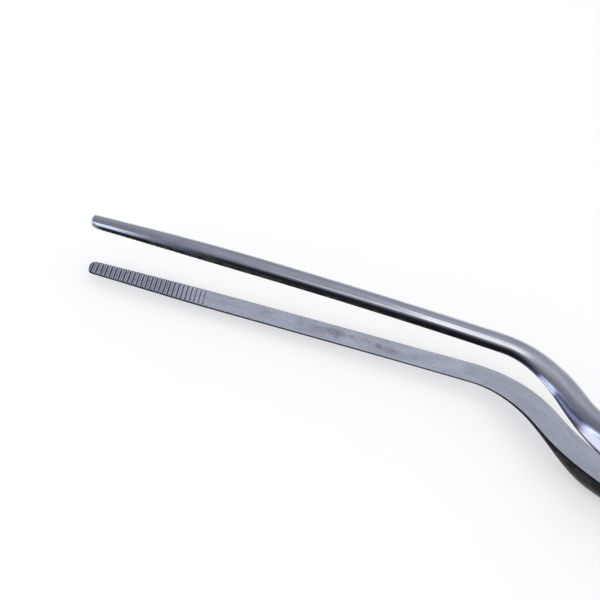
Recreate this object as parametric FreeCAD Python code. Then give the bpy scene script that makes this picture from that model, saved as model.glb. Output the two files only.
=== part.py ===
import FreeCAD, Part
import math
import os

from FreeCAD import Vector

# Sprung ear packing forceps of bayonet pattern, in millimetres.
# Two steel arms, each half-round at the front and a flat strip behind, are bent in a bayonet
# step and welded flat to flat at the tail. They lie on their side, so they close along Z.

# Plan of an arm, along its centre line from the tip to the tail
# The shaft is bowed, by an angle in degrees from one end to the other
shaft_length = 51.0
shaft_bow = 2.1
front_bend_radius = 12.8
step_length = 1.6
rear_bend_radius = 17.7
bayonet_angle = 49.6
handle_length = 65.0

# Places along the shaft, from the tip
jaw_taper_length = 15.6
shaft_middle = 32.0

# Places along the handle, from the end of the rear bend
knee_run = 5.0
grip_middle = 25.0
spring_middle = 46.0
weld_length = 9.0

# Width of an arm, seen from above
tip_width = 1.85
jaw_width = 2.58
middle_width = 2.77
shaft_width = 3.08
step_width = 4.4
shoulder_width = 4.0
knee_width = 6.2
grip_width = 8.6
spring_width = 7.6
tail_width = 6.4

# Thickness of an arm at its crown, in the closing direction
tip_thickness = 0.75
jaw_thickness = 1.05
shaft_thickness = 1.0
step_thickness = 1.5
shoulder_thickness = 3.45
knee_thickness = 3.3
grip_thickness = 2.0
spring_thickness = 1.25
tail_thickness = 1.3

# Height of the square edge under the rounded back
shaft_edge = 0.2
step_edge = 0.64
shoulder_edge = 2.45
knee_edge = 2.4
grip_edge = 1.6
spring_edge = 0.95

# Half of the gap between the inner faces, with the arms at rest
tip_half_gap = 4.07
jaw_half_gap = 4.19
shaft_half_gap = 3.7
step_half_gap = 2.55
shoulder_half_gap = 1.99
knee_half_gap = 2.0
grip_half_gap = 3.3
spring_half_gap = 1.3
weld_stock = 0.2

# Rounded ends
tip_round = 0.92
nose_round = 0.35
tail_round = 3.2

# Serrations across the inner face of each jaw
tooth_count = 26
tooth_pitch = 0.559
tooth_depth = 0.14
tooth_groove_width = 0.32
first_tooth = 0.4

# Grooves across the back of each handle
grip_groove_count = 25
grip_groove_pitch = 1.2
grip_groove_depth = 0.42
grip_groove_width = 0.84
first_grip_groove = 10.0

# Sections are lofted this far apart, and the rounded back is lofted in this many strips
section_pitch = 6.0
back_parts = 4


def centre_line():
    """The plan path as edges: bowed shaft, bend to the side, step, bend back, handle."""
    # Each run is a radius and a turn in degrees, or a length and no turn
    runs = [
        (shaft_length / math.radians(shaft_bow), -shaft_bow),
        (front_bend_radius, -bayonet_angle),
        (step_length, 0.0),
        (rear_bend_radius, bayonet_angle),
        (handle_length, 0.0),
    ]
    point = Vector(0, 0, 0)
    heading = shaft_bow
    edges = []
    for size, turn in runs:
        if turn:
            side = math.copysign(1, turn)
            centre = point + size * side * normal_of(heading)
            middle = centre - size * side * normal_of(heading + turn / 2)
            end = centre - size * side * normal_of(heading + turn)
            edges.append(Part.Arc(point, middle, end).toShape())
        else:
            end = point + size * direction_of(heading)
            edges.append(Part.makeLine(point, end))
        point = end
        heading += turn
    return edges


def direction_of(heading):
    """Unit vector in plan at a heading in degrees."""
    return Vector(math.cos(math.radians(heading)), math.sin(math.radians(heading)), 0)


def normal_of(heading):
    """Unit vector in plan, a quarter turn to the left of a heading in degrees."""
    return direction_of(heading + 90)


path = centre_line()
lengths = [edge.Length for edge in path]
shaft_end = lengths[0]
step_middle = shaft_end + lengths[1] + lengths[2] / 2
shoulder = shaft_end + lengths[1] + lengths[2] + lengths[3] / 2
handle_start = sum(lengths[:4])
tail_end = sum(lengths)
weld_start = tail_end - weld_length

# Each size runs through its own places, each place a distance from the tip
width = [
    (0, tip_width),
    (jaw_taper_length, jaw_width),
    (shaft_middle, middle_width),
    (shaft_end, shaft_width),
    (step_middle, step_width),
    (shoulder, shoulder_width),
    (handle_start + knee_run, knee_width),
    (handle_start + grip_middle, grip_width),
    (handle_start + spring_middle, spring_width),
    (tail_end, tail_width),
]
thickness = [
    (0, tip_thickness),
    (jaw_taper_length, jaw_thickness),
    (shaft_end, shaft_thickness),
    (step_middle, step_thickness),
    (shoulder, shoulder_thickness),
    (handle_start + knee_run, knee_thickness),
    (handle_start + grip_middle, grip_thickness),
    (handle_start + spring_middle, spring_thickness),
    (tail_end, tail_thickness),
]
edge_height = [
    (0, shaft_edge),
    (shaft_end, shaft_edge),
    (step_middle, step_edge),
    (shoulder, shoulder_edge),
    (handle_start + knee_run, knee_edge),
    (handle_start + grip_middle, grip_edge),
    (handle_start + spring_middle, spring_edge),
    (tail_end, spring_edge),
]
half_gap = [
    (0, tip_half_gap),
    (jaw_taper_length, jaw_half_gap),
    (shaft_end, shaft_half_gap),
    (step_middle, step_half_gap),
    (shoulder, shoulder_half_gap),
    (handle_start + knee_run, knee_half_gap),
    (handle_start + grip_middle, grip_half_gap),
    (handle_start + spring_middle, spring_half_gap),
    (weld_start, -weld_stock),
    (tail_end, -weld_stock),
]


def at(profile, place):
    """Value of a profile at a place: a cubic through its points that never overshoots."""
    places, values = zip(*profile)
    rises = [
        (values[i + 1] - values[i]) / (places[i + 1] - places[i])
        for i in range(len(values) - 1)
    ]
    slopes = [rises[0]]
    for before, after in zip(rises, rises[1:]):
        same_way = before * after > 0
        slopes.append(2 * before * after / (before + after) if same_way else 0)
    slopes.append(rises[-1])
    i = 0
    while i < len(rises) - 1 and place > places[i + 1]:
        i += 1
    span = places[i + 1] - places[i]
    u = (place - places[i]) / span
    start = values[i] * (1 + 2 * u) * (1 - u) ** 2 + slopes[i] * span * u * (1 - u) ** 2
    end = values[i + 1] * (3 - 2 * u) * u ** 2 - slopes[i + 1] * span * (1 - u) * u ** 2
    return start + end


def on_path(place):
    """Point and direction of the centre line at a distance from the tip."""
    for edge in path[:-1]:
        if place <= edge.Length:
            break
        place -= edge.Length
    else:
        edge = path[-1]
    parameter = edge.getParameterByLength(min(place, edge.Length))
    return edge.valueAt(parameter), edge.tangentAt(parameter)


def section(place):
    """Wire across an arm: flat inner face, two square edges and a back of one round."""
    point, along = on_path(place)
    across = Vector(-along.y, along.x, 0)
    half_width = at(width, place) / 2
    face = at(half_gap, place)
    square = at(edge_height, place)
    rise = at(thickness, place) - square
    ground = max(0, -face)

    def spot(sideways, height):
        return point + sideways * across + Vector(0, 0, face + height)

    # The back is an arc through the crown, in equal parts from one square edge to the other
    sweep = 2 * math.atan2(rise, half_width)
    radius = half_width / math.sin(sweep)
    centre_height = ground + square + rise - radius

    def back(share):
        angle = share * sweep
        return spot(radius * math.sin(angle), centre_height + radius * math.cos(angle))

    edges = [
        Part.makeLine(spot(half_width, 0), spot(-half_width, 0)),
        Part.makeLine(spot(-half_width, 0), back(-1)),
    ]
    for part in range(back_parts):
        start = -1 + 2 * part / back_parts
        end = start + 2 / back_parts
        edges.append(Part.Arc(back(start), back((start + end) / 2), back(end)).toShape())
    edges.append(Part.makeLine(back(1), spot(half_width, 0)))
    return Part.Wire(edges)


def blank():
    """One arm as forged and bent, with square ends and bare faces."""
    count = round(tail_end / section_pitch)
    places = [tail_end * i / count for i in range(count + 1)]
    return Part.makeLoft([section(place) for place in places], True, False)


def tip_rounding():
    """What is ground off the tip: all that is outside a small rounded post."""
    crown = tip_half_gap + tip_thickness
    post = Part.makeCylinder(tip_round, 3 * crown, Vector(tip_round, 0, -2 * crown + 0.05))
    rim = [edge for edge in post.Edges if edge.BoundBox.ZMin > crown - nose_round]
    post = post.makeFillet(nose_round, rim)
    stock = Part.makeBox(
        tip_round + 1, 2 * tip_width, 2 * crown, Vector(-1, -tip_width, 0)
    )
    outside = stock.cut(post)
    outside.rotate(Vector(0, 0, 0), Vector(0, 0, 1), shaft_bow)
    return outside


def tail_rounding():
    """What is ground off the tail: all that is outside a round as wide as the arm."""
    end, along = on_path(tail_end)
    centre = end - tail_round * along
    height = 4 * tail_thickness
    post = Part.makeCylinder(tail_round, 3 * height, centre - Vector(0, 0, height))
    stock = Part.makeBox(
        tail_round + 1, 2 * tail_width, height, centre - Vector(0, tail_width, height / 4)
    )
    return stock.cut(post)


def weld_flat():
    """What is ground off the inner face so that the tails lie flat on each other."""
    end, along = on_path(tail_end)
    reach = handle_length
    return Part.makeBox(
        reach + 1, 2 * grip_width, 1, end - Vector(reach, grip_width, 1)
    )


def groove(place, level, depth, opening):
    """V groove across an arm at a place: from a level in Z to a depth, which may be downward."""
    point, along = on_path(place)
    across = Vector(-along.y, along.x, 0)
    reach = at(width, place)
    mouth = 1.1
    start = point - reach * across
    corners = [
        start + Vector(0, 0, level + depth),
        start - mouth * opening / 2 * along + Vector(0, 0, level - (mouth - 1) * depth),
        start + mouth * opening / 2 * along + Vector(0, 0, level - (mouth - 1) * depth),
    ]
    face = Part.Face(Part.makePolygon(corners + corners[:1]))
    return face.extrude(2 * reach * across)


def serrations(shift):
    """Grooves across the inner face of a jaw, moved along it by a shift."""
    places = [first_tooth + shift + i * tooth_pitch for i in range(tooth_count)]
    return [groove(s, at(half_gap, s), tooth_depth, tooth_groove_width) for s in places]


def grip_grooves():
    """Grooves across the back of a handle."""
    first = handle_start + first_grip_groove
    places = [first + i * grip_groove_pitch for i in range(grip_groove_count)]
    return [
        groove(s, at(half_gap, s) + at(thickness, s), -grip_groove_depth, grip_groove_width)
        for s in places
    ]


# Both arms start as the same forging, bent, ground and grooved for the grip
plain_arm = blank().cut([tip_rounding(), tail_rounding(), weld_flat()] + grip_grooves())

# The upper arm's teeth are half a pitch on, so that they mesh with the lower arm's
upper_arm = plain_arm.cut(serrations(tooth_pitch / 2))
lower_arm = plain_arm.cut(serrations(0)).mirror(Vector(0, 0, 0), Vector(0, 0, 1))

# The origin is under the middle of the forceps as they lie on the lower arm's back
box = plain_arm.optimalBoundingBox(False, False)
to_origin = Vector(-box.Center.x, -box.Center.y, box.ZMax)

os.makedirs("parts", exist_ok=True)
for name, piece in {"upper_arm": upper_arm, "lower_arm": lower_arm}.items():
    piece.translate(to_origin)
    piece.exportStep("parts/" + name + ".step")
    print(name, len(piece.Solids), "solid, volume", round(piece.Volume, 1))
print("size", round(box.XLength, 2), round(box.YLength, 2), round(2 * box.ZMax, 2))
print("tip at", Vector(0, 0, 0) + to_origin)
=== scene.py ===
import math

import bpy
import numpy as np
from mathutils import Matrix, Vector


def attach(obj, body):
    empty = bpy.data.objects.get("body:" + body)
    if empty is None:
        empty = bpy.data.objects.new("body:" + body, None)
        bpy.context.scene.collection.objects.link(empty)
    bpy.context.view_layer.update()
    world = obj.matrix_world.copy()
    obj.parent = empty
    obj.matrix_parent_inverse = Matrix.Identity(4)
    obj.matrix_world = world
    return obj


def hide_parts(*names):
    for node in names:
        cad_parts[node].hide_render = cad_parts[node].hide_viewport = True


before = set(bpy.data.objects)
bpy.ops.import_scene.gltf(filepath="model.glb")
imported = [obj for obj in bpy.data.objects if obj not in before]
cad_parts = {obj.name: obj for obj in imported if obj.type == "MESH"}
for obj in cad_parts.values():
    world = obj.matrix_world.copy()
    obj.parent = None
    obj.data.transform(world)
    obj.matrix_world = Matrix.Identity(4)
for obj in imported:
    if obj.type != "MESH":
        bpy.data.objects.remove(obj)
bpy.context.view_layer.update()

# The two arms
# Each arm is one stainless steel forging, half-round in front and a flat strip behind, bent
# sideways in a bayonet step. Its back is polished and grooved at the grip, and its inner face is
# satin and serrated at the jaw. The tails are welded flat to flat and ground flush.

# Lengths and bend radii in the plan of an arm, in millimetres, and in degrees the slight bow of
# the shaft and the turn of each bend
SHAFT, STEP, HANDLE = 51.0, 1.6, 65.0
FRONT_BEND, REAR_BEND = 12.8, 17.7
BOW, BAYONET = 2.1, 49.6
TURN = math.radians(BAYONET)

# Distances from the tip along the centre line
STEP_START = SHAFT + FRONT_BEND * TURN
STEP_END = STEP_START + STEP
STEP_MIDDLE = (STEP_START + STEP_END) / 2
SHOULDER = STEP_END + REAR_BEND * TURN / 2
HANDLE_START = STEP_END + REAR_BEND * TURN
KNEE = HANDLE_START + 5.0
GRIP = HANDLE_START + 25.0
SPRING = HANDLE_START + 46.0
TAIL = HANDLE_START + HANDLE
WELD = TAIL - 9.0

# Sizes at such distances: the arm's width, its thickness, the height of its upright edges, and
# its distance from the closing plane, which is negative where the arms are welded
WIDTH = [(0, 1.85), (15.6, 2.58), (32, 2.77), (SHAFT, 3.08), (STEP_MIDDLE, 4.4),
         (SHOULDER, 4.0), (KNEE, 6.2), (GRIP, 8.6), (SPRING, 7.6), (TAIL, 6.4)]
THICKNESS = [(0, 0.75), (15.6, 1.05), (SHAFT, 1.0), (STEP_MIDDLE, 1.5), (SHOULDER, 3.45),
             (KNEE, 3.3), (GRIP, 2.0), (SPRING, 1.25), (TAIL, 1.3)]
EDGE = [(0, 0.2), (SHAFT, 0.2), (STEP_MIDDLE, 0.64), (SHOULDER, 2.45), (KNEE, 2.4),
        (GRIP, 1.6), (SPRING, 0.95), (TAIL, 0.95)]
HALF_GAP = [(0, 4.07), (15.6, 4.19), (SHAFT, 3.7), (STEP_MIDDLE, 2.55), (SHOULDER, 1.87),
            (KNEE, 1.88), (GRIP, 3.3), (SPRING, 1.3), (WELD, -0.2), (TAIL, -0.2)]

# Lengths of the rounded ends and the power of the nose's curve, the rounding over the nose, how
# far that starts above the tip's thickness, and the rounding at the corners. Then how far in and
# down the shoulder between the back and an upright edge is rounded.
TIP_ROUND, TAIL_ROUND, NOSE_POWER = 0.92, 3.2, 2.7
NOSE_ROUND, NOSE_RISE, CORNER = 0.35, 0.05, 0.07
ROUND_IN, ROUND_DOWN = 0.9, 1.4

# Where the arm is thin a corner takes at most these shares of the half width and the height, and
# the rounded shoulder these of the half width and the wall inwards, and of the wall downwards
CORNER_OF_WIDTH, CORNER_OF_HEIGHT = 0.4, 0.35
IN_OF_WIDTH, IN_OF_WALL, DOWN_OF_WALL = 0.35, 1.2, 0.55

# Serrations of the jaw. They get shallower and narrower away from the tip, and run out towards
# the corners: the share of the depth that is left there, and how fast it grows inwards.
TOOTH_COUNT, TOOTH_PITCH, FIRST_TOOTH = 26, 0.559, 0.4
TOOTH_DEPTH = [(0, 0.14), (9, 0.14), (15, 0.085)]
TOOTH_WIDTH = [(0, 0.26), (9, 0.26), (15, 0.17)]
RUN_OUT, RUN_IN = 0.35, 6

# Grooves of the grip
RIB_COUNT, RIB_PITCH, RIB_DEPTH, RIB_WIDTH = 25, 1.2, 0.42, 0.84
FIRST_RIB = HANDLE_START + 10.0

# Stains of use on an inner face: distance from the tip, share of the half width sideways, half
# length, half breadth as such a share, and strength
STAINS = [(16.5, 0.0, 1.4, 0.14, 0.25), (22.5, 0.25, 0.8, 0.35, 0.2), (27.1, 0.2, 0.6, 0.3, 0.5),
          (29.9, 0.12, 1.7, 0.32, 0.5), (31.7, 0.22, 1.6, 0.42, 0.9), (32.0, 0.02, 0.45, 0.65, 0.8),
          (34.0, 0.22, 0.5, 0.3, 0.55), (35.9, 0.15, 1.8, 0.3, 0.35), (37.8, -0.03, 0.55, 0.34, 0.95),
          (39.4, -0.12, 1.5, 0.3, 0.65), (42.7, -0.1, 0.7, 0.35, 0.35), (50.8, 0.0, 0.9, 0.5, 0.25)]

# Where the centre line of the tip and the closing plane lie in the frame, in millimetres
TIP_AT = (-70.126, 6.409)
CLOSING = 5.5232

# Rows of the mesh: how many round each end, how far apart on the shaft, the step and the handle,
# how far clear of the last groove, and how near to each other at least
NOSE_ROWS, TAIL_ROWS = 16, 24
SHAFT_ROWS, STEP_ROWS, HANDLE_ROWS = 0.25, 0.42, 0.6
CLEAR_OF_TOOTH, CLEAR_OF_RIB, NEAREST_ROWS = 0.5, 0.7, 0.004

# Where rows cross a groove, as shares of its width from its bottom
TOOTH_ROWS = [-0.57, -0.47, -0.25, -0.03, 0.03, 0.25, 0.47, 0.57]
RIB_ROWS = [-0.56, -0.5, -0.44, -0.22, -0.03, 0.03, 0.22, 0.44, 0.5, 0.56]

# Columns of the mesh: how many on the inner face, over a rounded shoulder and over the back,
# which turns of a corner in degrees, and which shares of an upright edge
FACE_COLUMNS, SHOULDER_COLUMNS, BACK_COLUMNS = 21, 8, 33
CORNER_TURNS = [22.5, 45, 67.5]
EDGE_SHARES = [0, 0.33, 0.66, 1.0]

# Points in one cell of a grid so fine are one point, and an edge with a turn of more than so
# many degrees stays sharp
CELLS_PER_MM, SHARP = 20000, 30


def profile(points, s):
    """Size at each distance s from the tip. Between two points it is a cubic whose slope at a
    point is the harmonic mean of the slopes on both sides, or none where they differ in sign,
    so that it never overshoots."""
    places, values = np.array(points, float).T
    rise = np.diff(values) / np.diff(places)
    before, after = rise[:-1], rise[1:]
    total = np.where(before * after > 0, before + after, 1)
    inner = np.where(before * after > 0, 2 * before * after / total, 0)
    slope = np.concatenate([rise[:1], inner, rise[-1:]])
    i = np.clip(np.searchsorted(places, s) - 1, 0, len(rise) - 1)
    span = np.diff(places)[i]
    u = (s - places[i]) / span
    start = values[i] * (1 + 2 * u) * (1 - u) ** 2 + slope[i] * span * u * (1 - u) ** 2
    end = values[i + 1] * (3 - 2 * u) * u ** 2 - slope[i + 1] * span * (1 - u) * u ** 2
    return start + end


def centre_line(s):
    """x, y and heading of the arm's centre line at each distance s from the tip. The heading
    falls evenly over the shaft and faster over the front bend, stays over the step and rises
    over the rear bend. x and y are the running sums of its cosine and sine."""
    fine = np.linspace(0, TAIL, 30001)
    bends = [0, SHAFT, STEP_START, STEP_END, HANDLE_START]
    heading = np.interp(fine, bends, [math.radians(BOW), 0, -TURN, -TURN, 0])
    middle = (heading[1:] + heading[:-1]) / 2
    x = TIP_AT[0] + np.concatenate([[0], np.cumsum(np.cos(middle) * fine[1])])
    y = TIP_AT[1] + np.concatenate([[0], np.cumsum(np.sin(middle) * fine[1])])
    return np.interp(s, fine, x), np.interp(s, fine, y), np.interp(s, fine, heading)


def groove_places(first, pitch, count):
    """Distances from the tip of the bottoms of a row of grooves: first, then one each pitch."""
    return first + pitch * np.arange(count)


def tooth_depth(s, bottoms):
    """Depth of the serrations at each s: full at a bottom, falling evenly to none at half a
    serration's width from it, where depth and width are those of the nearest one."""
    away = np.abs(s[:, None] - bottoms[None, :])
    nearest = bottoms[np.argmin(away, axis=1)]
    depth, width = profile(TOOTH_DEPTH, nearest), profile(TOOTH_WIDTH, nearest)
    return depth * np.clip(1 - np.min(away, axis=1) / (width / 2), 0, 1)


def rows_of(tooth_bottoms, rib_bottoms):
    """Distances from the tip of the mesh's rows: close at the rounded ends, at the bottoms and
    lips of every groove, and elsewhere evenly spaced on the shaft, the step and the handle."""
    nose = TIP_ROUND * (1 - np.cos(np.linspace(0, math.pi / 2, NOSE_ROWS)))
    tail = TAIL - TAIL_ROUND * (1 - np.cos(np.linspace(0, math.pi / 2, TAIL_ROWS)))
    tooth_width = profile(TOOTH_WIDTH, tooth_bottoms)[:, None]
    teeth = (tooth_bottoms[:, None] + np.array(TOOTH_ROWS) * tooth_width).ravel()
    ribs = (rib_bottoms[:, None] + np.array(RIB_ROWS) * RIB_WIDTH).ravel()
    plain = np.concatenate([
        np.arange(tooth_bottoms[-1] + CLEAR_OF_TOOTH, SHAFT, SHAFT_ROWS),
        np.arange(SHAFT, HANDLE_START, STEP_ROWS),
        np.arange(HANDLE_START, rib_bottoms[0] - CLEAR_OF_RIB, HANDLE_ROWS),
        np.arange(rib_bottoms[-1] + CLEAR_OF_RIB, TAIL - TAIL_ROUND, HANDLE_ROWS),
    ])
    rows = np.unique(np.round(np.concatenate([nose, tail, teeth, ribs, plain]), 4))
    keep = np.concatenate([[True], np.diff(rows) > NEAREST_ROWS])
    return rows[keep]


def arm_grid(tooth_bottoms, rib_bottoms):
    """Sections of an arm as arrays: s down the rows, and across them u sideways, v above the
    inner face, which columns are the inner face, and how upright each column is. Each section
    runs along the flat face, up a rounded corner and an upright edge, over the back, and down
    again. The back is an arc of radius half width over the sine of its sweep, where the sweep
    is twice the arc tangent of its rise over the half width. A groove clips it by a V, and the
    angle between it and the edge is rounded by a quadratic curve whose middle point is that
    angle. In plan the nose is a superellipse and the tail a half circle. How upright a column
    is goes from none on the face and the top of the back to 0.5 at the back's sides, 1 at the
    foot of the rounded shoulder, 1.3 down the upright edge and 1.6 round the corner."""
    s = rows_of(tooth_bottoms, rib_bottoms)
    full = profile(WIDTH, s) / 2
    thickness, edge = profile(THICKNESS, s), profile(EDGE, s)
    sweep = 2 * np.arctan2(thickness - edge, full)
    radius = full / np.sin(sweep)
    from_tip = np.clip(TIP_ROUND - s, 0, None)
    from_tail = np.clip(s - TAIL + TAIL_ROUND, 0, None)
    nose = (1 - (from_tip / TIP_ROUND) ** NOSE_POWER) ** (1 / NOSE_POWER)
    tail = np.sqrt(np.clip(TAIL_ROUND ** 2 - from_tail ** 2, 0, None))
    half = np.minimum(full * nose, np.where(from_tail > 0, tail, full))

    # The height of the back at any u, lowered at the round nose and where a groove crosses it
    away = np.abs(s[:, None] - rib_bottoms[None, :])
    level = profile(THICKNESS, rib_bottoms)[np.argmin(away, axis=1)] - RIB_DEPTH
    cut = level + np.min(away, axis=1) * RIB_DEPTH / (RIB_WIDTH / 2)

    def back_height(sideways):
        arc = (thickness - radius)[:, None] + np.sqrt(radius[:, None] ** 2 - sideways ** 2)
        out = np.clip(np.hypot(from_tip[:, None], sideways) - TIP_ROUND + NOSE_ROUND, 0, NOSE_ROUND)
        nose_top = THICKNESS[0][1] + NOSE_RISE - NOSE_ROUND + np.sqrt(NOSE_ROUND ** 2 - out ** 2)
        arc = np.where(from_tip[:, None] > 0, np.minimum(arc, nose_top), arc)
        return np.minimum(arc, cut[:, None])

    # The rounded corners, which join the inner face to the upright edges and shrink where the
    # arm is thin. The serrations have run out there, so the edges stay even.
    v_in = tooth_depth(s, tooth_bottoms)[:, None]
    v_low = RUN_OUT * v_in
    wide = half[:, None]
    v_top = back_height(wide)
    corner = np.minimum(np.minimum(CORNER, CORNER_OF_WIDTH * wide), CORNER_OF_HEIGHT * v_top)
    turn = np.radians(np.array(CORNER_TURNS))[None, :]
    u_corner = wide - corner * (1 - np.sin(turn))
    v_corner = v_low + corner * (1 - np.cos(turn))

    # The upright edge, and the rounded shoulder over it, which shrinks where the arm is thin
    wall = v_top - corner
    bend = np.minimum(np.minimum(ROUND_IN, IN_OF_WIDTH * wide), IN_OF_WALL * wall)
    drop = np.minimum(ROUND_DOWN, DOWN_OF_WALL * wall)
    up = np.array(EDGE_SHARES)[None, :]
    u_edge = wide + 0 * up
    v_edge = v_low + corner + (wall - v_low - drop) * up
    v_over = back_height(wide - bend)
    k = np.linspace(0, 1, SHOULDER_COLUMNS + 2)[None, 1:-1]
    u_bend = (1 - k) ** 2 * wide + 2 * k * (1 - k) * wide + k ** 2 * (wide - bend)
    v_bend = (1 - k) ** 2 * (v_top - drop) + 2 * k * (1 - k) * v_top + k ** 2 * v_over

    # The back and the inner face, and the whole section in order
    spread = np.linspace(-1, 1, BACK_COLUMNS)
    u_back = (wide - bend) * (np.sin(spread[None, :] * sweep[:, None]) / np.sin(sweep)[:, None])
    v_back = back_height(u_back)
    over = np.linspace(-1, 1, FACE_COLUMNS)[None, :]
    u_face = (wide - corner) * over
    v_face = v_in * np.clip(RUN_OUT + RUN_IN * (1 - np.abs(over)), 0, 1)
    u_side = np.hstack([u_corner, u_edge, u_bend])
    v_side = np.hstack([v_corner, v_edge, v_bend])
    u = np.hstack([u_face, u_side, u_back[:, ::-1], -u_side[:, ::-1]])
    v = np.hstack([v_face, v_side, v_back[:, ::-1], v_side[:, ::-1]])
    inner = np.arange(u.shape[1]) < FACE_COLUMNS - 1
    edge_part = np.concatenate([[1.6, 1.45], np.linspace(1.3, 1.0, len(EDGE_SHARES) + 1)])
    side = np.concatenate([edge_part, np.linspace(0.97, 0.58, SHOULDER_COLUMNS)])
    dome = 0.5 * np.clip(2 * np.abs(spread) - 1, 0, 1)
    upright = np.concatenate([np.zeros(FACE_COLUMNS), side, dome, side[::-1]])
    return s, u, v, inner, upright


def make_arm(name, side, tooth_shift):
    """Mesh of one arm. A point u sideways of the centre line at s is at right angles to the
    heading there, and its height is the closing plane plus or minus the half gap and v.
    Points that meet at the rounded ends are made one, and triangles with no area go. Each
    point keeps s, u and v, its stain and how upright it is, for the steel's patterns and
    its painted reflections, highlights and shade."""
    teeth = groove_places(FIRST_TOOTH + tooth_shift, TOOTH_PITCH, TOOTH_COUNT)
    ribs = groove_places(FIRST_RIB, RIB_PITCH, RIB_COUNT)
    s, u, v, inner, upright = arm_grid(teeth, ribs)
    x, y, heading = centre_line(s)
    gap = np.clip(profile(HALF_GAP, s), 0, None)
    place = np.stack([
        x[:, None] - np.sin(heading)[:, None] * u,
        y[:, None] + np.cos(heading)[:, None] * u,
        CLOSING + side * (gap[:, None] + v),
    ], axis=-1).reshape(-1, 3)
    lay = np.stack([s[:, None] + 0 * u, u, v], axis=-1).reshape(-1, 3)
    sideways = u / (profile(WIDTH, s)[:, None] / 2)
    stain = np.zeros(u.shape)
    for along, across, length, breadth, strength in STAINS:
        away = ((s[:, None] - along) / length) ** 2 + ((sideways - across) / breadth) ** 2
        stain = np.maximum(stain, strength * np.exp(-away ** 1.5))
    rows, columns = u.shape
    row, column = np.meshgrid(np.arange(rows - 1), np.arange(columns), indexing="ij")
    beside = (column + 1) % columns
    a = row * columns + column
    b = row * columns + beside
    c = (row + 1) * columns + beside
    d = (row + 1) * columns + column
    faces = np.concatenate([np.stack([a, b, c], -1), np.stack([a, c, d], -1)]).reshape(-1, 3)
    finish = np.concatenate([inner[column].ravel(), inner[column].ravel()]).astype(np.int32)

    # Points at one place become one
    cell = np.round(place * CELLS_PER_MM).astype(np.int64)
    first, same = np.unique(cell, axis=0, return_index=True, return_inverse=True)[1:]
    faces = same.reshape(-1)[faces]
    place, lay = place[first], lay[first]
    stain, upright = stain.ravel()[first], np.tile(upright, rows)[first]
    p, q, r = faces.T
    whole = (p != q) & (q != r) & (r != p)
    faces, finish = faces[whole], finish[whole]

    # Faces point outwards where the volume under them adds up to more than none
    p, q, r = place[faces[:, 0]], place[faces[:, 1]], place[faces[:, 2]]
    if np.sum(p * np.cross(q, r)) < 0:
        faces = faces[:, ::-1]
    mesh = bpy.data.meshes.new(name)
    mesh.from_pydata((place / 1000).tolist(), [], faces.tolist())
    mesh.polygons.foreach_set("material_index", finish)
    mesh.polygons.foreach_set("use_smooth", np.ones(len(faces), bool))
    mesh.attributes.new("lay", "FLOAT_VECTOR", "POINT").data.foreach_set("vector", lay.ravel())
    mesh.attributes.new("stain", "FLOAT", "POINT").data.foreach_set("value", stain)
    mesh.attributes.new("upright", "FLOAT", "POINT").data.foreach_set("value", upright)
    mesh.set_sharp_from_angle(angle=math.radians(SHARP))
    mesh.update()
    arm = bpy.data.objects.new(name, mesh)
    bpy.context.scene.collection.objects.link(arm)
    return arm


class Shade:
    """A socket of a material's nodes. Arithmetic on it adds Math nodes, and node() adds any
    other node and gives its output."""

    def __init__(self, tree, socket=None):
        self.tree = tree
        self.socket = socket

    def node(self, kind, settings=None, sockets=None, output=0):
        made = self.tree.nodes.new(kind)
        for key, value in (settings or {}).items():
            setattr(made, key, value)
        for key, value in (sockets or {}).items():
            if isinstance(value, Shade):
                self.tree.links.new(value.socket, made.inputs[key])
            else:
                made.inputs[key].default_value = value
        return Shade(self.tree, made.outputs[output])

    def part(self, output):
        """Another output of the node that this socket belongs to."""
        return Shade(self.tree, self.socket.node.outputs[output])

    def maths(self, operation, *values):
        return self.node("ShaderNodeMath", {"operation": operation}, dict(enumerate(values)))

    def __add__(self, other):
        return self.maths("ADD", self, other)

    def __radd__(self, other):
        return self.maths("ADD", other, self)

    def __sub__(self, other):
        return self.maths("SUBTRACT", self, other)

    def __rsub__(self, other):
        return self.maths("SUBTRACT", other, self)

    def __mul__(self, other):
        return self.maths("MULTIPLY", self, other)

    def __rmul__(self, other):
        return self.maths("MULTIPLY", other, self)

    def smooth(self, low, high):
        """0 below low, 1 above high and a smooth step between."""
        return self.node("ShaderNodeMapRange", {"interpolation_type": "SMOOTHSTEP"},
                         {"Value": self, "From Min": low, "From Max": high})

    def spot(self, start, full, fading, end):
        """1 from full to fading, 0 outside start and end, and a smooth step at either side."""
        return self.smooth(start, full) * (1 - self.smooth(fading, end))

    def blend(self, first, second):
        """Colour that goes from the first to the second as this value goes from 0 to 1."""
        return self.node("ShaderNodeMix", {"data_type": "RGBA"}, {0: self, 6: first, 7: second}, 2)

    def noise(self, place, stretch, detail=3.0, roughness=0.55, shift=(0, 0, 0)):
        """Noise from 0 to 1 with so many cells to the millimetre on each axis of place."""
        moved = self.node("ShaderNodeVectorMath", {"operation": "MULTIPLY_ADD"},
                          {0: place, 1: stretch, 2: shift})
        return self.node("ShaderNodeTexNoise", None,
                         {"Vector": moved, "Scale": 1.0, "Detail": detail, "Roughness": roughness})


def steel(name):
    """A metal material with no pattern yet: itself, its tree, its shader node, a pen that adds
    nodes to it, and each point's s, u and v."""
    material = bpy.data.materials.new(name)
    material.use_nodes = True
    tree = material.node_tree
    shader = tree.nodes["Principled BSDF"]
    shader.inputs["Metallic"].default_value = 1.0
    pen = Shade(tree)
    lay = pen.node("ShaderNodeAttribute", {"attribute_name": "lay"}, None, "Vector")
    return material, tree, shader, pen, lay
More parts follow.
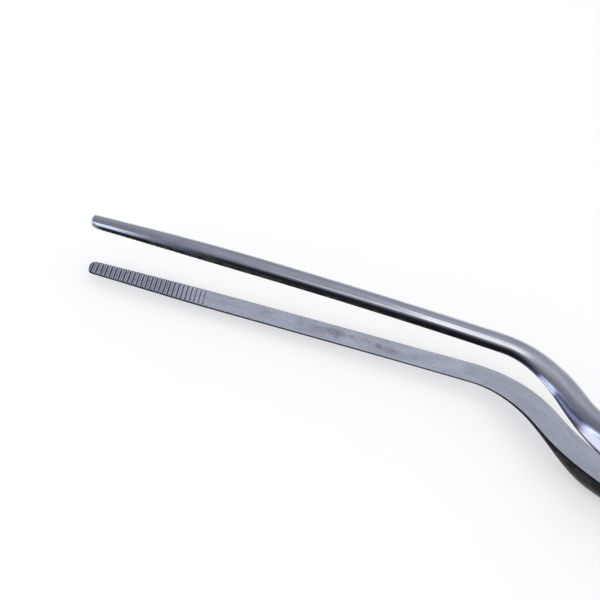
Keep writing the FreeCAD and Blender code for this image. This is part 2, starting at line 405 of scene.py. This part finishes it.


# Polished steel of the backs: polished lengthwise, so its fine lines run along the arm, and duller
# from the bayonet step back, where painted shade darkens it most on the side that is hollow at the
# front bend. The upright edges carry a painted dark, mottled reflection, and less of it on the
# handle. On the upper arm that painted reflection is violet from the step back, with two painted
# highlights. A painted shade line runs along the foot of each edge.
BRIGHT_STEEL = (0.61, 0.622, 0.67, 1)
WORN_STEEL = (0.54, 0.55, 0.595, 1)
HOLLOW_SHADE = (0.33, 0.335, 0.375, 1)
SPECK = (0.30, 0.30, 0.32, 1)
EDGE_REFLECTION_AND_SHADE = (0.014, 0.014, 0.018, 1)
BROWN_EDGE_REFLECTION = (0.050, 0.047, 0.040, 1)
VIOLET_EDGE_REFLECTION = (0.072, 0.078, 0.122, 1)
VIOLET_SHOULDER_REFLECTION = (0.13, 0.137, 0.20, 1)
HIGHLIGHT_COLOUR = (0.76, 0.78, 0.97, 1)

# Distances from the tip between which a finish, a painted reflection, shade or highlight comes
# in or goes, or both
BARE_NOSE, DULL, HOLLOW = (0.3, 1.4), (52.2, 56.5), (52.2, 56.0)
VIOLET, PLAIN_HANDLE = (50.0, 57.0), (72.0, 80.0)
STEP_HIGHLIGHT = (56.6, 57.8, 59.6, 60.8)
SHOULDER_HIGHLIGHT = (64.7, 66.2, 68.5, 71.0)

# How upright the steel is where a painted mark of the edges begins: the highlights over the
# shoulder, the edge's violet reflection at the shoulder's foot, and the shade line down the edge
OVER_SHOULDER, SHOULDER_FOOT, EDGE_FOOT = (0.54, 0.66), (0.88, 1.04), (1.08, 1.21)

polished, tree, shader, pen, lay = steel("polished_steel")
lines = pen.noise(lay, (0.12, 9.0, 9.0), 3.0, 0.6)
haze = pen.noise(lay, (0.35, 0.8, 0.8), 3.0, 0.6, (7, 3, 1))
specks = pen.noise(lay, (3.5, 5.0, 5.0), 4.0, 0.6, (2, 9, 4)).smooth(0.68, 0.76)
mottle = pen.noise(lay, (1.1, 1.6, 2.4), 4.0, 0.65, (5, 5, 5)).smooth(0.42, 0.62)
along = pen.node("ShaderNodeSeparateXYZ", None, {0: lay}, "X")
across = along.part("Y")
upright = pen.node("ShaderNodeAttribute", {"attribute_name": "upright"}, None, "Fac")
place = pen.node("ShaderNodeTexCoord", None, None, "Object")
height = pen.node("ShaderNodeSeparateXYZ", None, {0: place}, "Z") * 1000
upper = height.smooth(CLOSING - 0.5, CLOSING + 0.5)

# The back
colour = haze.smooth(0.35, 0.7).blend(BRIGHT_STEEL, WORN_STEEL)
colour = (specks * 0.4).blend(colour, SPECK)
# Painted shade: the back darker from the step back on the side that is hollow at the front bend
hollow = (0 - across).smooth(0.1, 0.9) * along.smooth(*HOLLOW)
colour = (hollow * 0.85).blend(colour, HOLLOW_SHADE)

# The upright edges' painted reflection, highlights and shade line, which begin on the sides of the
# lower arm's back, and at the top of the upper arm's shoulder
step = along.smooth(*VIOLET)
# Painted reflection: lighter violet on the upper arm's shoulder, darker violet down its edge
violet = upright.smooth(*SHOULDER_FOOT).blend(VIOLET_SHOULDER_REFLECTION, VIOLET_EDGE_REFLECTION)
# Painted reflection on the edges: dark and mottled, but violet on the upper arm from the step back
painted_edge_light = (step * upper).blend(mottle.blend(EDGE_REFLECTION_AND_SHADE, BROWN_EDGE_REFLECTION), violet)
# Painted highlights: two bright bluish spots on the upper arm's edges, at the step's front and rear
# bends
highlight_mask = (along.spot(*STEP_HIGHLIGHT) + along.spot(*SHOULDER_HIGHLIGHT)) * upper
highlight_mask = highlight_mask * upright.smooth(*OVER_SHOULDER)
painted_edge_light = highlight_mask.blend(painted_edge_light, HIGHLIGHT_COLOUR)
# Painted shade: a dark line along the foot of each upright edge
painted_edge_light = upright.smooth(*EDGE_FOOT).blend(painted_edge_light, EDGE_REFLECTION_AND_SHADE)
bare = upper * (1 - along.smooth(*BARE_NOSE)) + along.smooth(*PLAIN_HANDLE) * 0.8
start = 0.05 + upper * (0.41 + step * 0.05)
edges = ((upright - start) * (10 - step * 5)).smooth(0.0, 1.0) * (1 - bare)
colour = edges.blend(colour, painted_edge_light)
tree.links.new(colour.socket, shader.inputs["Base Color"])
dull = along.smooth(*DULL) * (1 - edges)
rough = 0.085 + lines * 0.04 + haze * 0.05 + specks * 0.1 + edges * 0.13 + dull * 0.18
tree.links.new(rough.socket, shader.inputs["Roughness"])
bump = pen.node("ShaderNodeBump", None, {"Height": lines, "Strength": 0.12, "Distance": 0.000004})
tree.links.new(bump.socket, shader.inputs["Normal"])

# Satin steel of the inner faces: ground flat, so it is dull, a little darker from the step back,
# and stained by use on the shaft. The serrations' bottoms carry painted shade, but not where they
# run out at the corners, and the very tip of the face is as dark. Near the lower arm's tip a fine
# painted shade line, patchy along its length, runs between each two of them.
SATIN_STEEL = (0.86, 0.895, 0.95, 1)
SATIN_SHADE = (0.61, 0.635, 0.685, 1)
STEP_LIGHT = (0.765, 0.79, 0.835, 1)
STEP_SHADE = (0.595, 0.62, 0.665, 1)
STAIN = (0.36, 0.365, 0.395, 1)
GROOVE_SHADE_AND_DARK_TIP = (0.068, 0.075, 0.135, 1)

# Distances from the tip between which a finish or the painted shade lines come in or go, or both
SATIN_STEP, DARK_NOSE = (49.0, 58.0), (0.05, 0.4)
SHADE_LINES = (0.2, 0.5, 9.5, 12.5)

satin, tree, shader, pen, lay = steel("satin_steel")
grain = pen.noise(lay, (3.2, 4.6, 4.6), 5.0, 0.7)
cloud = pen.noise(lay, (0.22, 0.9, 0.9), 4.0, 0.6, (4, 1, 8))
blots = pen.noise(lay, (1.8, 2.6, 2.6), 4.0, 0.65, (11, 5, 2)).smooth(0.3, 0.62)
along = pen.node("ShaderNodeSeparateXYZ", None, {0: lay}, "X")
above = along.part("Z")
stained = pen.node("ShaderNodeAttribute", {"attribute_name": "stain"}, None, "Fac")
between = pen.maths("FRACT", (along - FIRST_TOOTH) * (1 / TOOTH_PITCH)) - 0.5
shady = (cloud * 0.4 + grain * 0.6).smooth(0.38, 0.62)
colour = shady.blend(SATIN_STEEL, SATIN_SHADE)
colour = (along.smooth(*SATIN_STEP) * 0.9).blend(colour, shady.blend(STEP_LIGHT, STEP_SHADE))
colour = (stained * (0.45 + blots * 0.55)).blend(colour, STAIN)
# Painted shade: a fine dark line between each two serrations near the tip, patchy along its length
fine = (1 - pen.maths("ABSOLUTE", between).smooth(0.09, 0.17)) * along.spot(*SHADE_LINES)
patchy = grain.smooth(0.42, 0.62)
colour = (fine * (0.45 + patchy * 0.4)).blend(colour, GROOVE_SHADE_AND_DARK_TIP)
# Painted shade in the serrations' bottoms, and the same dark at the very tip of the face
dark = pen.maths("MAXIMUM", above.smooth(0.02, 0.08), 1 - along.smooth(*DARK_NOSE))
colour = (dark * 0.85).blend(colour, GROOVE_SHADE_AND_DARK_TIP)
tree.links.new(colour.socket, shader.inputs["Base Color"])
rough = 0.34 + grain * 0.1 + cloud * 0.08
tree.links.new(rough.socket, shader.inputs["Roughness"])
bump = pen.node("ShaderNodeBump", None, {"Height": grain, "Strength": 0.5, "Distance": 0.000006})
tree.links.new(bump.socket, shader.inputs["Normal"])

# The upper arm's serrations are half a pitch further on, so that the jaws can mesh
for name, side, tooth_shift in [("upper_arm", 1, TOOTH_PITCH / 2), ("lower_arm", -1, 0.0)]:
    arm = make_arm(name + "_forging", side, tooth_shift)
    arm.data.materials.append(polished)
    arm.data.materials.append(satin)
    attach(arm, "root")
    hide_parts(name)


# The floor
# One pale, matt studio surface that the forceps lie on. It is white to the camera and in the
# steel's reflections, and the forceps' soft shadow stays on it.
FLOOR_RADIUS, FLOOR_CORNERS = 6.0, 96
WHITE = (1, 1, 1, 1)
MATT_PAPER, PAPER_GLOW = (0.62, 0.62, 0.62, 1), 0.38


def stage_disc(name, radius, corners):
    """Flat disc on the ground: points at even angles round a circle of the radius."""
    angle = np.linspace(0, 2 * np.pi, corners, endpoint=False)
    rim = np.stack([radius * np.cos(angle), radius * np.sin(angle), 0 * angle], -1)
    mesh = bpy.data.meshes.new(name)
    mesh.from_pydata(rim.tolist(), [], [list(range(corners))])
    disc = bpy.data.objects.new(name, mesh)
    bpy.context.scene.collection.objects.link(disc)
    return disc


def seen_directly(ray):
    """1 for a ray from the camera and for one that a shiny or clear surface sends on."""
    mirrored = ray.maths("MAXIMUM", ray.part("Is Glossy Ray"), ray.part("Is Transmission Ray"))
    return ray.maths("MAXIMUM", mirrored, ray.part("Is Camera Ray"))


floor = stage_disc("floor", FLOOR_RADIUS, FLOOR_CORNERS)
paper = bpy.data.materials.new("white_paper")
paper.use_nodes = True
tree = paper.node_tree
tree.nodes.clear()
pen = Shade(tree)
seen = seen_directly(pen.node("ShaderNodeLightPath"))
matt = pen.node("ShaderNodeBsdfDiffuse", None, {"Color": MATT_PAPER})
glow = pen.node("ShaderNodeEmission", None, {"Color": WHITE, "Strength": seen * PAPER_GLOW})
both = pen.node("ShaderNodeAddShader", None, {0: matt, 1: glow})
out = tree.nodes.new("ShaderNodeOutputMaterial")
tree.links.new(both.socket, out.inputs["Surface"])
floor.data.materials.append(paper)


# Light and backdrop
# A white room with a soft box up on the right, a fainter one beside it and two bluish windows
# on the left. Round the forceps stand black, grey and blue cards, which the polished steel
# mirrors as its dark and bright streaks. The camera doesn't see them.
ROOM_LIGHT, ROOM_GLOW = 0.88, 0.12
world = bpy.data.worlds.new("white_room")
bpy.context.scene.world = world
world.use_nodes = True
tree = world.node_tree
tree.nodes.clear()
pen = Shade(tree)
seen = seen_directly(pen.node("ShaderNodeLightPath"))
room = pen.node("ShaderNodeBackground", None,
                {"Color": WHITE, "Strength": seen * ROOM_GLOW + ROOM_LIGHT})
out = tree.nodes.new("ShaderNodeOutputWorld")
tree.links.new(room.socket, out.inputs["Surface"])


def direction(azimuth, elevation):
    """Unit vectors towards azimuths and elevations in degrees, where azimuth 0 is in front and
    90 on the right: cosine of elevation times sine of azimuth and times minus its cosine, and
    sine of elevation."""
    turn, lift = np.radians(azimuth), np.radians(elevation)
    return np.stack([np.sin(turn) * np.cos(lift), -np.cos(turn) * np.cos(lift),
                     np.sin(lift) + 0 * turn], -1)


# Elevations up a card, in degrees, and the brightness there at several places round the forceps
CARD_HEIGHTS = [-3, 8, 15, 46, 54, 60, 70, 90]
ZENITH = (0.46, 0.475, 0.53)
FRONT = [(1.1, 1.12, 1.18), (1.1, 1.12, 1.18), (0.014, 0.012, 0.020), (0.016, 0.015, 0.022),
         (0.08, 0.085, 0.10), (0.22, 0.225, 0.26), (0.32, 0.33, 0.38), ZENITH]
LEFT = [(0.85, 0.87, 0.95), (0.85, 0.87, 0.95), (0.26, 0.28, 0.37), (0.21, 0.23, 0.31),
        (0.20, 0.22, 0.30), (0.22, 0.23, 0.30), (0.25, 0.26, 0.32), ZENITH]
FAR_LEFT = [(0.75, 0.76, 0.80), (0.75, 0.76, 0.80), (0.56, 0.57, 0.61), (0.42, 0.43, 0.48),
            (0.26, 0.28, 0.35), (0.23, 0.24, 0.31), (0.25, 0.26, 0.32), ZENITH]
BACK = [(0.45, 0.46, 0.50), (0.45, 0.46, 0.50), (0.36, 0.375, 0.43), (0.41, 0.425, 0.50),
        (0.45, 0.465, 0.54), (0.45, 0.465, 0.54), (0.44, 0.455, 0.53), ZENITH]
BACK_RIGHT = [(0.50, 0.51, 0.56), (0.50, 0.51, 0.56), (0.44, 0.455, 0.52), (0.53, 0.55, 0.63),
              (0.56, 0.58, 0.66), (0.56, 0.58, 0.66), (0.50, 0.515, 0.59), ZENITH]
RIGHT = [(0.60, 0.60, 0.63), (0.60, 0.60, 0.63), (0.42, 0.42, 0.45), (0.40, 0.40, 0.43),
         (0.38, 0.38, 0.41), (0.42, 0.42, 0.45), (0.44, 0.45, 0.49), ZENITH]
CARD_DISTANCE, CARD_COLUMNS, CARD_ROWS = 1.6, 25, 46


def card(name, azimuths, first, last, lowest=0):
    """Curved card round the forceps: a grid of azimuth and elevation, in degrees, at one
    distance from the middle, from the lowest of the heights up. Its brightness goes evenly
    from height to height up each end, and from the first end to the last across it."""
    rise = CARD_HEIGHTS[lowest:]
    turn, lift = np.meshgrid(np.linspace(*azimuths, CARD_COLUMNS),
                             np.linspace(rise[0], rise[-1], CARD_ROWS), indexing="ij")
    place = (CARD_DISTANCE * direction(turn, lift)).reshape(-1, 3)
    ends = [np.stack([np.interp(lift, rise, [colour[i] for colour in colours[lowest:]])
                      for i in range(3)], -1) for colours in (first, last)]
    share = np.linspace(0, 1, CARD_COLUMNS)[:, None, None]
    shine = ends[0] * (1 - share) + ends[1] * share
    i, j = np.meshgrid(np.arange(CARD_COLUMNS - 1), np.arange(CARD_ROWS - 1), indexing="ij")
    a = (i * CARD_ROWS + j).ravel()
    b = a + CARD_ROWS
    mesh = bpy.data.meshes.new(name)
    mesh.from_pydata(place.tolist(), [], np.stack([a, b, b + 1, a + 1], -1).tolist())
    mesh.attributes.new("shine", "FLOAT_VECTOR", "POINT").data.foreach_set("vector", shine.ravel())
    made = bpy.data.objects.new(name, mesh)
    bpy.context.scene.collection.objects.link(made)
    felt = bpy.data.materials.new(name)
    felt.use_nodes = True
    felt.node_tree.nodes.clear()
    pen = Shade(felt.node_tree)
    shining = pen.node("ShaderNodeAttribute", {"attribute_name": "shine"}, None, "Vector")
    glow = pen.node("ShaderNodeEmission", None, {"Color": shining})
    out = felt.node_tree.nodes.new("ShaderNodeOutputMaterial")
    felt.node_tree.links.new(glow.socket, out.inputs["Surface"])
    mesh.materials.append(felt)
    made.visible_camera = False
    made.visible_diffuse = False
    made.visible_shadow = False


# The right card begins at the fifth height, so that the steel mirrors the room under it
card("far_left_card", (-125, -75), FAR_LEFT, LEFT)
card("left_card", (-75, -16), LEFT, LEFT)
card("front_left_card", (-16, -2), LEFT, FRONT)
card("front_card", (-2, 42), FRONT, FRONT)
card("front_right_card", (42, 56), FRONT, RIGHT)
card("right_card", (56, 100), RIGHT, RIGHT, 4)
card("back_right_card", (100, 125), RIGHT, BACK_RIGHT)
card("back_card", (125, 180), BACK_RIGHT, BACK)
card("back_left_card", (180, 235), BACK, FAR_LEFT)


def soft_box(name, azimuth, elevation, distance, size, radiance, tilt=0):
    """Rectangular lamp, with its distance and size in metres, that faces the forceps and is turned
    in its own plane by the tilt in degrees. Its power is pi times its area times the brightness
    that it shows, the largest of radiance."""
    lamp = bpy.data.lights.new(name, "AREA")
    lamp.shape = "RECTANGLE"
    lamp.size, lamp.size_y = size
    lamp.energy = math.pi * size[0] * size[1] * max(radiance)
    lamp.color = [part / max(radiance) for part in radiance]
    made = bpy.data.objects.new(name, lamp)
    away = Vector(direction(np.array(azimuth), np.array(elevation)))
    made.location = away * distance
    made.rotation_euler = (away.to_track_quat("Z", "Y").to_matrix()
                           @ Matrix.Rotation(math.radians(tilt), 3, "Z")).to_euler()
    made.visible_camera = False
    bpy.context.scene.collection.objects.link(made)


soft_box("soft_box", 95, 67.3, 0.8, (0.46, 0.145), (1.0, 0.97, 0.93))
soft_box("faint_box", 45, 72.5, 0.9, (0.30, 0.20), (0.46, 0.46, 0.46))
soft_box("blue_window", -30, 50, 1.2, (0.24, 0.64), (1.20, 1.36, 1.62), 24)
soft_box("side_window", -56, 20, 1.2, (0.60, 1.0), (1.35, 1.42, 1.75))


# The camera
# It looks at the front half of the forceps from close by, from in front and above, with the
# tail outside its view, as in the photograph. Lengths are in millimetres, angles in degrees
# and the focal length in the photograph's pixels.
AZIMUTH, ELEVATION, ROLL = -11.89, 50.23, 26.15
DISTANCE, AIM = 80.0, (-44.427, 7.584, CLOSING + 0.021)
FOCAL, PICTURE_WIDTH, SENSOR = 647.8, 600, 36.0
roll = math.radians(ROLL)
back = Vector(direction(np.array(AZIMUTH), np.array(ELEVATION)))
right = Vector((math.cos(math.radians(AZIMUTH)), math.sin(math.radians(AZIMUTH)), 0))
up = back.cross(right)
across = math.cos(roll) * right + math.sin(roll) * up
rising = math.cos(roll) * up - math.sin(roll) * right
lens = bpy.data.cameras.new("camera")
lens.sensor_width = SENSOR
lens.lens = FOCAL / PICTURE_WIDTH * SENSOR
lens.clip_start = 0.001
lens.clip_end = 50.0
camera = bpy.data.objects.new("camera", lens)
camera.matrix_world = Matrix((
    (across.x, rising.x, back.x, (AIM[0] + DISTANCE * back.x) / 1000),
    (across.y, rising.y, back.y, (AIM[1] + DISTANCE * back.y) / 1000),
    (across.z, rising.z, back.z, (AIM[2] + DISTANCE * back.z) / 1000),
    (0, 0, 0, 1),
))
bpy.context.scene.collection.objects.link(camera)
bpy.context.scene.camera = camera
bpy.context.scene.view_settings.view_transform = "Standard"
